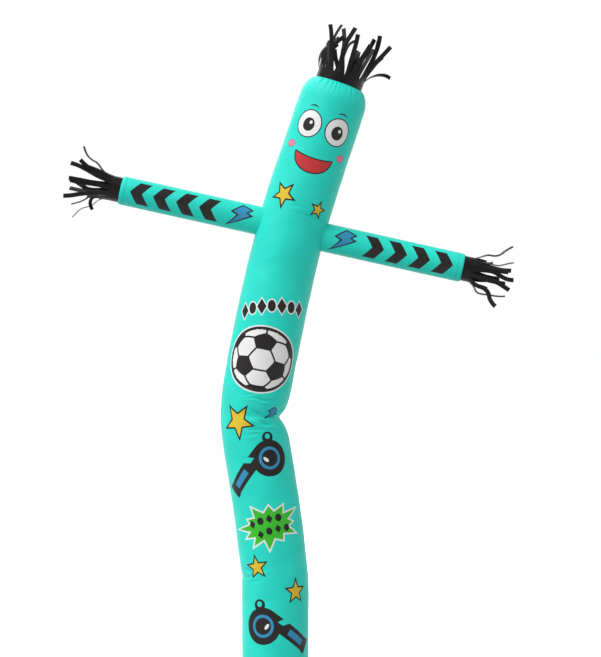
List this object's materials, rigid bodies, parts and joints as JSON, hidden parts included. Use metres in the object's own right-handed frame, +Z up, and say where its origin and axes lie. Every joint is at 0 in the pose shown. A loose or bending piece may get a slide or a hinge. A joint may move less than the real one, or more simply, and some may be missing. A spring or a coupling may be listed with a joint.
{
  "type": "inflatable air dancer",
  "caption": "Inflated cloth tube, bent at the waist, open at the foot, with two sleeves and cut black fringes at its head and hands.",
  "frame": {"origin": "centre of the open mouth at the foot, in the plane of the hem", "axes": "+Z up the tube from its mouth, -Y to the printed front, +X to the right as seen from the front"},
  "size_m": [1.0003, 0.1704, 1.5155],
  "materials": {
    "turquoise_nylon": "satin woven nylon, printed on the front",
    "black_nylon": "satin woven nylon, cut into strips"
  },
  "bodies": {
    "root": {"body_tube": "turquoise_nylon", "left_arm": "turquoise_nylon", "right_arm": "turquoise_nylon", "hair_fringe": "black_nylon", "left_hand_fringe": "black_nylon", "right_hand_fringe": "black_nylon"}
  },
  "joints": []
}
